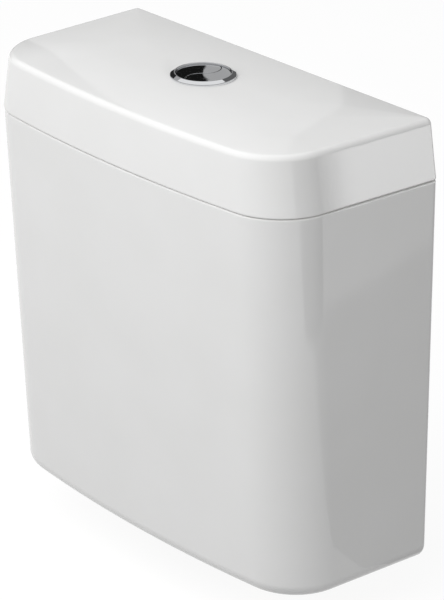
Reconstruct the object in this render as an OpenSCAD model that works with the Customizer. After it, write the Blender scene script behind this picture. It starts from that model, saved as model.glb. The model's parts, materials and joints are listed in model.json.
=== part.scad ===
// Close-coupled toilet cistern: a glazed ceramic tank and lid with a dual-flush push button,
// a lever-lifted flush valve, a bottom-entry fill valve and the close-coupling fixings.
// Millimetres. The origin is the centre of the outlet on the tank's underside, with +Z up,
// the front towards -Y and the flat rear face, which stands against the wall, towards +Y.

/* [Tank] */
// Width of the tank at its rear, measured over the lid's skirt
body_w = 385; // [350:1:430]
// Depth at the rim from the rear face to the middle of the bowed front
body_d = 178; // [170:1:215]
// Height of the rim above the underside
tank_h = 339; // [330:1:400]
// Thickness of the ceramic walls
wall = 9.5; // [7:0.5:12]
// Thickness of the ceramic floor
floor_t = 13; // [10:0.5:16]
// Rise of the front's bow over the width of the tank
front_bow = 14; // [6:0.5:22]
// Radius of the two front corners in plan
front_r = 52; // [40:1:60]
// Radius of the two rear corners in plan
rear_r = 6; // [3:0.5:10]
// How far each side leans in from the rear to the front
side_in = 7; // [0:0.5:12]
// How far the front's foot is set back from the rim
front_lean = 19.5; // [5:0.5:26]
// Radius of the bottom edge
base_r = 13; // [5:0.5:13]
// Radius of the rim's edges and of the skirt's lower edge
rim_r = 1.6; // [1:0.1:2.5]
// Radius where the inner walls meet the floor
cove_r = 14; // [8:1:20]
// Distance from the outlet's axis to the rear face
outlet_to_rear = 82; // [76:1:90]

/* [Lid] */
// Height of the lid from the bottom of its skirt to its top
lid_h = 54; // [46:1:65]
// Thickness of the lid's top
lid_t = 10; // [8:0.5:13]
// How far each end of the lid leans in over its height
lid_end_draft = 9.25; // [4:0.25:13]
// How far the lid's front leans in over its height
lid_front_draft = 2; // [0:0.5:6]
// Radius of the lid's top edge
lid_edge_r = 10; // [6:0.5:13]
// Drop of the lid's top from its flat middle to its edge radius
lid_crown = 3; // [1:0.5:5]
// Width of the band over which the top drops
crown_w = 32; // [24:1:34]
// How far the lid's skirt stands proud of the tank below it
lid_proud = 0.5; // [0:0.1:1.5]
// Depth of the locating rib below the skirt
rib_drop = 9; // [5:0.5:14]
// Thickness of the locating rib
rib_t = 6; // [4:0.5:9]
// Clearance from the locating rib to the tank's wall
rib_gap = 2.5; // [1.5:0.25:4]

/* [Push button] */
// Outer diameter of the chrome bezel
bezel_d = 54.4; // [53.4:0.2:62]
// Height of the bezel above the lid
bezel_h = 3.6; // [3.4:0.1:5.6]
// Diameter of the round formed by the two buttons
button_d = 45; // [43:0.2:45.2]
// Thickness of the buttons' plates
button_t = 2.4; // [1.8:0.1:3]
// Depth of the buttons' faces below the top of the bezel
button_sink = 1.4; // [1:0.1:2]
// Gap along the curved split between the two buttons
button_split = 0.7; // [0.5:0.1:1.2]
// Travel of a button
button_travel = 6; // [4:0.5:6]
// Diameter of the hole in the lid
lid_hole_d = 49.6; // [49.4:0.1:51]
// Wall of the bezel's sleeve
sleeve_t = 1.6; // [1.3:0.1:1.7]
// Length of the sleeve below the lid's top
sleeve_l = 25.5; // [24:0.5:30]
// Diameter of the push rods
rod_d = 6.4; // [5:0.2:7]

/* [Flush valve] */
// Diameter of the outlet hole in the tank
outlet_hole_d = 64; // [62:0.5:67]
// Outer diameter of the threaded tail
tail_d = 59.6; // [58:0.1:61]
// Bore of the outlet
outlet_bore_d = 51; // [47:0.5:52]
// Length of the tail below the tank
tail_l = 29; // [26:1:42]
// Height of the valve seat above the base's flange
seat_h = 9; // [7:0.5:12]
// Depth of the overflow's mouth below the tank's rim
overflow_drop = 106; // [90:1:130]
// Depth of the straps' seat below the overflow's mouth
strap_drop = 36; // [30:1:40]
// Outer diameter of the overflow riser
riser_d = 34; // [31:0.5:35]
// How far the flush seal reaches past the outlet's bore
seal_lap = 7.5; // [6:0.5:9]
// Height of the riser's float
flush_float_h = 45; // [35:1:50]
// Height of the riser's float above the valve seat
flush_float_lift = 66; // [58:1:70]
// Outer diameter of the housing
housing_d = 84; // [78:1:90]
// Distance from a lever's pivot to its push pad
pad_arm = 14; // [13:0.5:15]
// Distance from a lever's pivot to its lifting nose
lift_arm = 26; // [24:0.5:26]
// Width of a lever
lever_w = 8; // [6:0.5:8.5]
// Outer diameter of the doughnut that seals against the pan
doughnut_d = 87; // [84:1:100]
// Height of the doughnut
doughnut_h = 20; // [17:1:30]

/* [Fill valve] */
// Distance of the inlet from the tank's left end
inlet_to_end = 54.5; // [52:0.5:62]
// Diameter of the inlet hole in the tank
inlet_hole_d = 24; // [22:0.5:26]
// Outer diameter of the threaded inlet
inlet_d = 20.9; // [20:0.1:21]
// Length of the threaded inlet below the tank
inlet_l = 44; // [38:1:55]
// Diameter of the stem
stem_d = 22; // [20:0.5:23]
// Depth of the stem's top below the tank's rim
stem_drop = 111; // [100:1:130]
// Outer diameter of the float
float_d = 54; // [48:1:58]
// Height of the float
float_h = 42; // [34:1:43]
// Depth of the float's foot below the stem's top in an empty tank
float_drop = 54; // [53:1:60]
// Rise of the float from an empty to a full tank
float_rise = 10; // [6:0.5:10]
// Distance from the float arm's pin to its nose
arm_l = 23.5; // [22.5:0.5:25]
// Diameter of the float's link
link_d = 4; // [3:0.2:4.2]

/* [Fixings] */
// Distance between the two fixing bolts
bolt_pitch = 150; // [140:1:170]
// Diameter of the fixing bolts
bolt_d = 8; // [7:0.5:8.5]
// Diameter of the bolt holes in the tank
bolt_hole_d = 11; // [10.5:0.5:12]
// Length of the bolts below the tank
bolt_l = 45; // [38:1:75]
// Outer diameter of the rubber washers under the bolts' heads
cone_washer_d = 26; // [22:1:30]
// Thickness of those washers above the floor
cone_washer_t = 5; // [3:0.5:7]
// Distance between the two wall-screw holes in the rear wall
wall_hole_pitch = 200; // [160:5:240]
// Diameter of the wall-screw holes
wall_hole_d = 8; // [6:0.5:9]
// Depth of the wall-screw holes below the rim
wall_hole_drop = 42; // [30:1:60]

/* [Clearances] */
// Gap between parts that rest or move on each other
rest_gap = 0.3; // [0.2:0.05:0.5]
// Radial gap round a part that is held in a hole
held_gap = 0.1; // [0.05:0.01:0.15]
// Radial gap of the bezel's sleeve in the lid's hole
sleeve_gap = 0.4; // [0.3:0.05:0.6]
// Gap between a lifting strap and the housing's wall
strap_gap = 0.8; // [0.6:0.1:1.2]
// Radial gap of a lever or an arm on its pin
pin_gap = 0.08; // [0.05:0.01:0.1]
// Gap between a lever's nose and the part that it moves
nose_gap = 0.5; // [0.4:0.05:0.8]

/* [Hidden] */
$fn = 64;
over = 1;                                   // how far a cutter passes the face that it cuts

// Colours
glaze = [0.93, 0.93, 0.925];
chrome = [0.80, 0.81, 0.83];
white_plastic = [0.90, 0.91, 0.91];
grey_plastic = [0.62, 0.65, 0.68];
blue_plastic = [0.22, 0.42, 0.66];
black_rubber = [0.10, 0.10, 0.11];
red_rubber = [0.55, 0.18, 0.14];
zinc = [0.70, 0.71, 0.70];
steel = [0.62, 0.63, 0.65];

// Tank and lid
rear_y = outlet_to_rear;
front_y = outlet_to_rear - body_d;
bow_r = (pow(body_w / 2, 2) + pow(front_bow, 2)) / (2 * front_bow);
side_lean = atan(side_in / body_d);
least_r = 1.2;                              // least corner radius of an inset outline
skirt_z = tank_h + rest_gap;
lid_z = tank_h + lid_h;
lid_under_z = lid_z - lid_t;
lid_wall = wall;
ceiling_r = 12;                             // radius between the lid's walls and its underside
shelf_rise = 10;
shelf_z = skirt_z + shelf_rise;             // where the lid's wall starts to thicken into the rib
crown_edge_a = 90 - atan(2 * lid_crown / crown_w);
rear_steps = 4;
corner_steps = 12;
front_steps = 12;

// Push button
bezel_r = bezel_d / 2;
sleeve_r = lid_hole_d / 2 - sleeve_gap;
sleeve_bore_r = sleeve_r - sleeve_t;
button_r = button_d / 2;
bezel_edge_r = 0.8;
bezel_rim_h = 1.9;
bezel_edge_steps = 6;
button_z = lid_z + bezel_h - button_sink;   // top of the buttons
plate_z = button_z - button_t;              // underside of the buttons' plates
button_bevel = 0.4;
sleeve_z = lid_z - sleeve_l;
sleeve_lip_t = 1.5;
guide_t = 3;
guide_z = sleeve_z + sleeve_lip_t;
guide_top_z = guide_z + guide_t;
guide_collar_h = 4;
post_r = 4;
post_boss_h = 3;
rod_x = pad_arm;
rod_y = 5;
rod_collar_w = 1.4;
rod_collar_r = post_r + rod_collar_w;
rod_collar_t = 3;
rod_point_r = 1.2;                          // flat at the end of a rod's cone
rod_point_h = 2.2;
rod_spigot_r = 2.5;
rod_spigot_l = 13;
rod_top_z = guide_z - rest_gap;
split_turn = 15.3;                          // turn of the split's chord from the front-to-rear line
split_chord = 23.6;
split_rise = 7;
split_r = (pow(split_chord / 2, 2) + pow(split_rise, 2)) / (2 * split_rise);
spring_wire_r = 0.5;
spring_w = 2.2;                             // from the post to the middle of the wire
spring_r = post_r + spring_w;
spring_turns = 6;
spring_sides = 6;
spring_rings = 10;                          // rings in each turn
post_boss_r = spring_r + 2 * spring_wire_r;
guide_collar_r = (spring_r - spring_wire_r) * cos(180 / spring_rings) - rest_gap;
spring_low_z = guide_top_z + spring_wire_r;
spring_high_z = plate_z - post_boss_h - spring_wire_r;
nut_h = 8;
nut_w = 8;
nut_r = sleeve_r + nut_w;

// Flush valve
base_seal_t = 4;
flange_z = floor_t + base_seal_t;
flange_t = 4.5;
flange_top_z = flange_z + flange_t;
seat_z = flange_top_z + seat_h;
tail_r = tail_d / 2;
outlet_r = outlet_bore_d / 2;
seat_lip_t = 3.4;
throat_step = 0.8;                          // the waterway widens by this above the flange
housing_r = housing_d / 2;
housing_t = 2.5;
flange_lap = 6;                             // the base's flange past the housing
flange_r = housing_r + flange_lap;
foot_h = 6;
leg_h = 38;
cage_z = seat_z + leg_h;                    // lower edge of the housing's shell
plate_t = 4;
overflow_z = tank_h - overflow_drop;
valve_lift = button_travel * lift_arm / pad_arm;
lift_room = 2;                              // room left above the riser when both levers lift it
housing_z = overflow_z + 2 * valve_lift + lift_room;
housing_top_z = housing_z + plate_t;
riser_r = riser_d / 2;
riser_t = 2;
flush_seal_t = 4;
flush_seal_r = outlet_r + seal_lap;
retainer_t = 4;
retainer_in = 3;                            // the retainer's edge inside the outlet's bore
riser_foot_z = seat_z + flush_seal_t;
riser_foot_t = 4;
riser_low_z = seat_z - retainer_t;
float_seat_z = seat_z + flush_float_lift;
float_room = 6;                             // from the riser's float to the housing's wall
flush_float_r = housing_r - housing_t - float_room;
strap_seat_z = overflow_z - strap_drop;     // top of the riser's collar between the two straps
strap_h = 9;
strap_t = 4;
collar_t = 4;
float_collar_w = 5;
strap_collar_w = 3;
guide_drop = 24;
guide_ring_z = strap_seat_z - guide_drop;
pivot_rise = 26;                            // pivot above the housing's top plate
pivot_z = housing_top_z + pivot_rise;
pivot_pin_r = 2.5;
hub_r = 6;
pad_r = 4;
nose_r = 3.5;
web_in = 0.4;                               // how far a web's edge lies inside its round ends
ear_t = 4;
ear_w = 16;
ear_y = rod_y + lever_w / 2 + rest_gap;     // inner face of an ear
rod_tip_z = pivot_z + pad_r + nose_gap;
strip_t = 3;
strip_w = 9;
strip_out_x = sqrt(pow(housing_r - housing_t - strap_gap, 2) - pow(rod_y + strip_w / 2, 2));
strip_x = strip_out_x - strip_t;            // inner face of a lifting strip
hook_lap = 4;                               // the hook's end past the middle of the lever's nose
hook_reach = strip_out_x - lift_arm + hook_lap;
hook_t = 3.2;
hook_z = pivot_z + nose_r + nose_gap;
backnut_t = 9;
backnut_w = 8;
backnut_r = tail_r + backnut_w;
doughnut_r = doughnut_d / 2;

// Fill valve
inlet_x = body_w / 2 - inlet_to_end;
inlet_r = inlet_d / 2;
inlet_bore_r = 5;
thread_relief = 0.2;
stem_washer_t = 3;
stem_flange_w = 5;
stem_flange_r = inlet_hole_d / 2 + stem_flange_w;
stem_flange_z = floor_t + stem_washer_t;
stem_flange_t = 4;
stem_r = stem_d / 2;
stem_z = tank_h - stem_drop;
stem_nut_t = 9;
stem_nut_w = 7;
stem_nut_r = inlet_r + stem_nut_w;
head_w = 6;
head_r = stem_r + head_w;
head_h = 30;
head_z = stem_z + head_h;
cap_h = 10;
cap_w = 2;
cap_r = head_r + cap_w;
cap_bevel = 3;
diaphragm_t = 3.4;
diaphragm_seat = 4;
diaphragm_in = 4;
diaphragm_r = head_r - diaphragm_in;
float_r = float_d / 2;
float_t = 1.6;
float_z = stem_z - float_drop;              // lower edge of the float in an empty tank
stop_t = 3.5;
stop_w = 2.5;
arm_pin_r = 2;
arm_pin_out = 5;
arm_pin_x = head_r + arm_pin_out;
arm_pin_drop = 7;
arm_pin_z = head_z - arm_pin_drop;
arm_rest = -asin(float_rise / 2 / arm_l);   // slope of the arm in an empty tank
arm_w = 12;
arm_hub_r = 4.5;
arm_nose_r = 2.5;
arm_web_in = 1;
arm_ear_t = 3;
arm_ear_r = 5;
link_r = link_d / 2;
link_x = arm_pin_x + arm_l * cos(arm_rest);
link_mid_z = arm_pin_z + arm_l * sin(arm_rest);
link_collar_w = 1.8;
link_collar_r = link_r + link_collar_w;
link_collar_t = 2.5;
link_end_l = 5;
link_slot_gap = 0.8;
link_slot_r = link_r + link_slot_gap;
link_lug_t = 4;
filter_r = inlet_bore_r - held_gap;
filter_l = 22;

// Fixings
bolt_r = bolt_d / 2;
shank_r = bolt_r - thread_relief;           // the bolt's plain part above its thread
bolt_hole_r = bolt_hole_d / 2;
bolt_head_w = 3.5;
bolt_head_r = bolt_r + bolt_head_w;
bolt_head_t = 5.5;
cone_washer_r = cone_washer_d / 2;
cone_l = 5;
cone_taper = 0.8;
steel_washer_t = 1.6;
steel_washer_w = 5.6;
steel_washer_r = bolt_r + steel_washer_w;
bolt_nut_t = 6.5;
bolt_nut_w = 3.5;
bolt_nut_r = bolt_r + bolt_nut_w;

// Plan outline of the tank, clockwise seen from above, with every edge moved in by inset.
// half_w is the half width at the rear line and low_y the foremost point before the inset.
function outline(half_w, low_y, inset) =
    let (
        along = [-sin(side_lean), -cos(side_lean)],
        inward = [-cos(side_lean), sin(side_lean)],
        corner_r = max(front_r - inset, least_r),
        back_r = max(rear_r - inset, least_r),
        bow_c = [0, low_y + bow_r],
        corner_in = corner_r + inset,
        back_in = back_r + inset,
        side = [half_w, rear_y],
        start = side + corner_in * inward - bow_c,
        b = start * along,
        c = start * start - pow(bow_r - corner_in, 2),
        corner_c = bow_c + start + (sqrt(b * b - c) - b) * along,
        slide = back_in * (1 + sin(side_lean)) / cos(side_lean),
        back_c = side + back_in * inward + slide * along,
        turn = atan2(corner_c.y - bow_c.y, corner_c.x - bow_c.x),
        right = [
            for (k = [0 : rear_steps])
                let (a = 90 - (90 + side_lean) * k / rear_steps)
                back_c + back_r * [cos(a), sin(a)],
            for (k = [0 : corner_steps])
                let (a = -side_lean + (turn + side_lean) * k / corner_steps)
                corner_c + corner_r * [cos(a), sin(a)],
            for (k = [1 : front_steps - 1])
                let (a = turn + (-90 - turn) * k / front_steps)
                bow_c + (bow_r - inset) * [cos(a), sin(a)]
        ],
        apex = [0, low_y + inset]
    )
    concat(right, [apex], [for (k = [len(right) - 1 : -1 : 0]) [-right[k].x, right[k].y]]);

// One ring of the tank's skin, and one of the lid's
function tank_ring(inset, z) =
    [for (p = outline(body_w / 2 - lid_proud, front_y + lid_proud + front_lean * (1 - z / tank_h), inset))
        [p.x, p.y, z]];
function lid_ring(inset, z) =
    let (k = (z - skirt_z) / lid_h)
    [for (p = outline(body_w / 2 - lid_end_draft * k, front_y + lid_front_draft * k, inset)) [p.x, p.y, z]];

// Angles of an arc's points
function steps(n) = [for (k = [0 : n]) 90 * k / n];

// Points of a round cross-section's ring, for a tube that winds up round the Z axis
function coil_ring(turns, r, wire_r, z0, z1, k) =
    let (
        n = turns * spring_rings,
        turned = 360 * k / spring_rings,
        centre = [r * cos(turned), r * sin(turned), z0 + (z1 - z0) * k / n],
        out = [cos(turned), sin(turned), 0],
        up = [0, 0, 1]
    )
    [for (s = [0 : spring_sides - 1])
        centre + wire_r * (cos(360 * s / spring_sides) * out - sin(360 * s / spring_sides) * up)];

// Closed skin through rings of equal point count, with a flat cap at each end
module loft(rings) {
    n = len(rings[0]);
    last = (len(rings) - 1) * n;
    polyhedron(
        [for (ring = rings) each ring],
        concat(
            [[for (i = [n - 1 : -1 : 0]) i]],
            [for (k = [0 : len(rings) - 2])
                for (i = [0 : n - 1])
                    let (a = k * n + i, b = k * n + (i + 1) % n)
                    each [[a, b, b + n], [a, b + n, a + n]]],
            [[for (i = [0 : n - 1]) last + i]]
        )
    );
}

// Ring of revolution between two radii and two heights
module ring(r_out, r_in, z0, z1) {
    rotate_extrude()
        translate([r_in, z0])
            square([r_out - r_in, z1 - z0]);
}

// Cylinder between two heights
module disc(r, z0, z1) {
    translate([0, 0, z0])
        cylinder(r = r, h = z1 - z0);
}

// Flat link of two round ends and the web between them, the second end at a distance along X
module link(r1, r2, distance, h, end_in) {
    side1 = r1 - web_in;
    side2 = r2 - end_in;
    cylinder(r = r1, h = h);
    translate([distance, 0, 0])
        cylinder(r = r2, h = h);
    linear_extrude(h)
        polygon([[0, side1], [distance, side2], [distance, -side2], [0, -side1]]);
}

// Children at both fixing bolts
module at_bolts() {
    for (side = [-1, 1])
        translate([side * bolt_pitch / 2, 0, 0])
            children();
}

// Children at the fill valve
module at_inlet() {
    translate([-inlet_x, 0, 0])
        children();
}

// Ceramic tank
module tank() {
    rings = concat(
        [for (a = steps(5)) tank_ring(base_r * (1 - sin(a)), base_r * (1 - cos(a)))],
        [for (a = steps(3)) tank_ring(rim_r * (1 - cos(a)), tank_h - rim_r * (1 - sin(a)))],
        [for (a = steps(3)) tank_ring(wall - rim_r * (1 - sin(a)), tank_h - rim_r * (1 - cos(a)))],
        [for (a = steps(4)) tank_ring(wall + cove_r * (1 - cos(a)), floor_t + cove_r * (1 - sin(a)))]
    );
    color(glaze)
        difference() {
            loft(rings);
            disc(outlet_hole_d / 2, -over, floor_t + over);
            at_bolts()
                disc(bolt_hole_r, -over, floor_t + over);
            at_inlet()
                disc(inlet_hole_d / 2, -over, floor_t + over);
            for (side = [-1, 1])
                translate([side * wall_hole_pitch / 2, rear_y - wall - over, tank_h - wall_hole_drop])
                    rotate([-90, 0, 0])
                        cylinder(d = wall_hole_d, h = wall + 2 * over);
        }
}

// Ceramic lid, a deep cap whose rib locates inside the tank's rim
module lid() {
    rib_in = wall + rib_gap + rib_t;
    edge_z = lid_z - lid_crown - lid_edge_r * sin(crown_edge_a);
    edge_in = lid_edge_r * (1 - cos(crown_edge_a));
    crown_steps = 5;
    rings = concat(
        [for (a = steps(3)) lid_ring(lid_wall + ceiling_r * (1 - sin(a)), lid_under_z - ceiling_r * (1 - cos(a)))],
        [lid_ring(lid_wall, shelf_z + rib_in - lid_wall)],
        [tank_ring(rib_in, shelf_z)],
        [for (a = steps(2)) tank_ring(rib_in - rim_r * (1 - cos(a)), tank_h - rib_drop + rim_r * (1 - sin(a)))],
        [for (a = steps(2))
            tank_ring(wall + rib_gap + rim_r * (1 - sin(a)), tank_h - rib_drop + rim_r * (1 - cos(a)))],
        [tank_ring(wall + rib_gap, skirt_z)],
        [for (a = steps(3)) lid_ring(rim_r * (1 - sin(a)), skirt_z + rim_r * (1 - cos(a)))],
        [for (k = [0 : 6])
            let (a = crown_edge_a * k / 6)
            lid_ring(lid_edge_r * (1 - cos(a)), edge_z + lid_edge_r * sin(a))],
        [for (k = [1 : crown_steps])
            let (t = k / crown_steps)
            lid_ring(edge_in + crown_w * t, lid_z - lid_crown * pow(1 - t, 2))]
    );
    color(glaze)
        difference() {
            loft(rings);
            disc(lid_hole_d / 2, lid_under_z - over, lid_z + over);
        }
}

// Chrome bezel: a flange that slopes down to its edge and a sleeve through the lid with a lip at its foot
module button_bezel() {
    crest = [sleeve_bore_r + bezel_edge_r, lid_z + bezel_h - bezel_edge_r];
    rim = [bezel_r - bezel_edge_r, lid_z + bezel_rim_h - bezel_edge_r];
    slope_a = 90 - atan2(crest[1] - rim[1], rim[0] - crest[0]);
    crest_step = (180 - slope_a) / bezel_edge_steps;
    rim_step = slope_a / bezel_edge_steps;
    color(chrome)
        rotate_extrude() {
            polygon(concat(
                [[sleeve_bore_r, lid_z], [bezel_r, lid_z]],
                [for (k = [0 : bezel_edge_steps])
                    let (a = rim_step * k)
                    rim + bezel_edge_r * [cos(a), sin(a)]],
                [for (k = [0 : bezel_edge_steps])
                    let (a = slope_a + crest_step * k)
                    crest + bezel_edge_r * [cos(a), sin(a)]]
            ));
            translate([sleeve_bore_r, sleeve_z])
                square([sleeve_t, sleeve_l]);
            translate([sleeve_bore_r - sleeve_lip_t, sleeve_z])
                square([sleeve_lip_t + sleeve_t, sleeve_lip_t]);
        }
}

// Ring nut that clamps the bezel from under the lid
module bezel_nut() {
    lugs = 8;
    lug_w = 6;
    lug_l = 3;
    lug_h = 5.6;
    color(white_plastic)
        difference() {
            union() {
                ring(nut_r, sleeve_r + held_gap, lid_under_z - nut_h, lid_under_z);
                for (k = [0 : lugs - 1])
                    rotate(360 * k / lugs)
                        translate([nut_r - over, -lug_w / 2, lid_under_z - nut_h])
                            cube([lug_l + over, lug_w, lug_h]);
            }
            disc(sleeve_r + held_gap, lid_under_z - nut_h - over, lid_under_z + over);
        }
}

// Places of the two rods: the full flush on the left and the half flush on the right
full_rod = [-rod_x, rod_y];
half_rod = [rod_x, -rod_y];

// Plastic guide in the sleeve, with a collared hole for each button's post
module button_guide() {
    color(white_plastic)
        difference() {
            union() {
                disc(sleeve_bore_r - held_gap, guide_z, guide_top_z);
                for (p = [full_rod, half_rod])
                    translate(p)
                        disc(guide_collar_r, guide_z, guide_top_z + guide_collar_h);
            }
            for (p = [full_rod, half_rod])
                translate(p)
                    disc(post_r + held_gap, guide_z - over, guide_top_z + guide_collar_h + over);
        }
}

// Plan of the left button, moved in by inset all round; the right one is this turned half a turn
module button_plan(inset) {
    gap = button_split / 2 + inset;
    reach = 2 * button_r;
    rotate(split_turn)
        difference() {
            intersection() {
                circle(button_r - inset);
                union() {
                    translate([-gap - reach, -reach])
                        square([reach, 2 * reach]);
                    translate([split_rise - split_r, split_chord / 2])
                        circle(split_r - gap);
                }
            }
            translate([split_r - split_rise, -split_chord / 2])
                circle(split_r + gap);
        }
}

// One button: a bevelled plate with a boss and a guided post that takes the push rod
module button() {
    difference() {
        union() {
            translate([0, 0, plate_z])
                linear_extrude(button_t - button_bevel)
                    button_plan(0);
            translate([0, 0, plate_z])
                linear_extrude(button_t)
                    button_plan(button_bevel);
            translate(full_rod) {
                disc(post_boss_r, plate_z - post_boss_h, plate_z + over);
                disc(post_r, rod_top_z, plate_z + over);
            }
        }
        translate(full_rod)
            disc(rod_spigot_r + held_gap, rod_top_z - over, rod_top_z + rod_spigot_l + over);
    }
}

// The plan is symmetric under a half turn, so the second button is the first one turned
module full_flush_button() {
    color(chrome)
        button();
}

module half_flush_button() {
    color(chrome)
        rotate(180)
            button();
}

// One push rod: a spigot in the button's post, a collar that stops it at the guide, and a coned end
module push_rod() {
    rod_r = rod_d / 2;
    translate(full_rod) {
        disc(rod_spigot_r, rod_top_z - over, rod_top_z + rod_spigot_l);
        disc(rod_collar_r, rod_top_z - rod_collar_t, rod_top_z);
        disc(rod_r, rod_tip_z + rod_point_h, rod_top_z - rod_collar_t + over);
        translate([0, 0, rod_tip_z])
            cylinder(r1 = rod_point_r, r2 = rod_r, h = rod_point_h);
    }
}

module full_push_rod() {
    color(grey_plastic)
        push_rod();
}

module half_push_rod() {
    color(grey_plastic)
        rotate(180)
            push_rod();
}

// One return spring, wound between the guide and the button's boss
module button_spring() {
    translate(full_rod)
        loft(spring_points);
}

spring_points = [for (k = [0 : spring_turns * spring_rings])
    coil_ring(spring_turns, spring_r, spring_wire_r, spring_low_z, spring_high_z, k)];
spring_gap = min([for (k = [0 : (spring_turns - 1) * spring_rings])
    for (p = spring_points[k])
        for (q = spring_points[k + spring_rings])
            norm(p - q)]);
echo(least_gap_between_spring_turns = spring_gap);

module full_button_spring() {
    color(steel)
        button_spring();
}

module half_button_spring() {
    color(steel)
        rotate(180)
            button_spring();
}

// Flush valve base: threaded tail, flange with a raised edge, and the valve seat
module valve_base() {
    edge_h = 4;
    edge_t = 2.2;
    color(white_plastic)
        difference() {
            union() {
                ring(tail_r, outlet_r, -tail_l, flange_top_z);
                ring(flange_r, outlet_r, flange_z, flange_top_z);
                ring(flange_r, flange_r - edge_t, flange_z, flange_top_z + edge_h);
                ring(outlet_r + seat_lip_t, outlet_r, flange_z, seat_z);
            }
            disc(outlet_r, -tail_l - over, seat_z + over);
            disc(outlet_r + throat_step, flange_z, seat_z + over);
        }
}

// Rubber washer between the base's flange and the tank's floor
module base_seal() {
    edge_in = 2;
    color(black_rubber)
        ring(flange_r - edge_in, tail_r + held_gap, floor_t, flange_z);
}

// Hexagon nut under the tank on the valve's tail
module valve_backnut() {
    color(white_plastic)
        difference() {
            translate([0, 0, -backnut_t])
                cylinder(r = backnut_r, h = backnut_t, $fn = 6);
            disc(tail_r + held_gap, -backnut_t - over, over);
        }
}

// Foam doughnut that seals against the pan, with a recess over the nut
module pan_doughnut() {
    soft_r = 6;
    in_r = tail_r + held_gap;
    color(black_rubber)
        difference() {
            rotate_extrude() {
                translate([in_r, -doughnut_h])
                    square([doughnut_r - soft_r - in_r, doughnut_h]);
                translate([in_r, soft_r - doughnut_h])
                    square([doughnut_r - in_r, doughnut_h - soft_r]);
                translate([doughnut_r - soft_r, soft_r - doughnut_h])
                    circle(soft_r);
            }
            disc(backnut_r + rest_gap, -backnut_t - rest_gap, over);
        }
}

// Housing: a foot ring in the base's edge, legs, a windowed shell, a riser guide, a top plate and the lever ears
module valve_housing() {
    legs = 4;
    leg_w = 16;
    windows = 4;
    window_w = 26;
    window_edge = 14;
    spill_drop = 20;
    spill_edge = 8;
    drain_r = 5;
    drain_out = 6;
    slot_gap = 0.6;
    guide_h = 6;
    guide_w = 2.5;
    guide_r = riser_r + rest_gap + guide_w;
    arms = 3;
    arm_w = 4;
    in_r = housing_r - housing_t;
    color(grey_plastic)
        difference() {
            union() {
                ring(housing_r, in_r, flange_top_z, flange_top_z + foot_h);
                ring(housing_r, in_r, cage_z, housing_z + over);
                intersection() {
                    ring(housing_r, in_r, flange_top_z, cage_z + over);
                    for (k = [0 : legs - 1])
                        rotate(360 * (k + 0.5) / legs)
                            translate([0, -leg_w / 2, flange_top_z])
                                cube([flange_r, leg_w, cage_z + over - flange_top_z]);
                }
                disc(housing_r, housing_z, housing_top_z);
                ring(guide_r, riser_r + rest_gap, guide_ring_z, guide_ring_z + guide_h);
                for (k = [0 : arms - 1])
                    rotate(90 + 360 * k / arms)
                        translate([guide_r - over, -arm_w / 2, guide_ring_z])
                            cube([in_r - guide_r + 2 * over, arm_w, guide_h]);
                for (side = [-1, 1])
                    lever_ear(side);
            }
            // Windows low in the shell, and others at the overflow's level
            for (k = [0 : windows - 1])
                rotate(360 * (k + 0.5) / windows) {
                    translate([0, -window_w / 2, cage_z + window_edge])
                        cube([flange_r, window_w, guide_ring_z - cage_z - 2 * window_edge]);
                    translate([0, -window_w / 2, overflow_z - spill_drop])
                        cube([flange_r, window_w, housing_z - spill_edge - overflow_z + spill_drop]);
                }
            // Slots for the lifting strips, and drain holes
            for (side = [-1, 1])
                translate([side * (strip_x + strip_t / 2), side * rod_y, housing_z - over])
                    translate([-strip_t / 2 - slot_gap, -strip_w / 2 - slot_gap, 0])
                        cube([strip_t + 2 * slot_gap, strip_w + 2 * slot_gap, plate_t + 2 * over]);
            for (side = [-1, 1])
                translate([0, side * (ear_y + ear_t + drain_out), housing_z - over])
                    cylinder(r = drain_r, h = plate_t + 2 * over);
        }
}

// One ear of the housing, with the hole that holds the lever pin
module lever_ear(side) {
    y = side > 0 ? ear_y : -ear_y - ear_t;
    difference() {
        union() {
            translate([-ear_w / 2, y, housing_top_z - over])
                cube([ear_w, ear_t, pivot_rise + over]);
            translate([0, y, pivot_z])
                rotate([-90, 0, 0])
                    cylinder(d = ear_w, h = ear_t);
        }
        translate([0, y - over, pivot_z])
            rotate([-90, 0, 0])
                cylinder(r = pivot_pin_r, h = ear_t + 2 * over);
    }
}

// Steel pin through both ears, on which the levers turn
module lever_pin() {
    color(steel)
        translate([0, -ear_y - ear_t, pivot_z])
            rotate([-90, 0, 0])
                cylinder(r = pivot_pin_r, h = 2 * (ear_y + ear_t));
}

// One lever: push pad on the left, lifting nose on the right, turning on the pin
module lever() {
    translate([0, rod_y + lever_w / 2, pivot_z])
        rotate([90, 0, 0])
            difference() {
                union() {
                    link(hub_r, pad_r, -pad_arm, lever_w, web_in);
                    link(hub_r, nose_r, lift_arm, lever_w, web_in);
                }
                disc(pivot_pin_r + pin_gap, -over, lever_w + over);
            }
}

module full_lever() {
    color(blue_plastic)
        lever();
}

module half_lever() {
    color(white_plastic)
        rotate(180)
            lever();
}

// Overflow riser: the open tube that carries the valve's seal, with collars for the float and the straps
module overflow_riser() {
    in_r = riser_r - riser_t;
    color(white_plastic)
        difference() {
            union() {
                ring(riser_r, in_r, riser_low_z, overflow_z);
                ring(flush_seal_r, in_r, riser_foot_z, riser_foot_z + riser_foot_t);
                ring(riser_r + float_collar_w, in_r, float_seat_z - collar_t, float_seat_z);
                ring(riser_r + strap_collar_w, in_r, strap_seat_z - collar_t, strap_seat_z);
            }
            disc(in_r, riser_low_z - over, overflow_z + over);
        }
}

// Rubber disc that closes the seat
module flush_seal() {
    edge_in = 0.6;
    color(red_rubber)
        ring(flush_seal_r - edge_in, riser_r + held_gap, seat_z, riser_foot_z);
}

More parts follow.
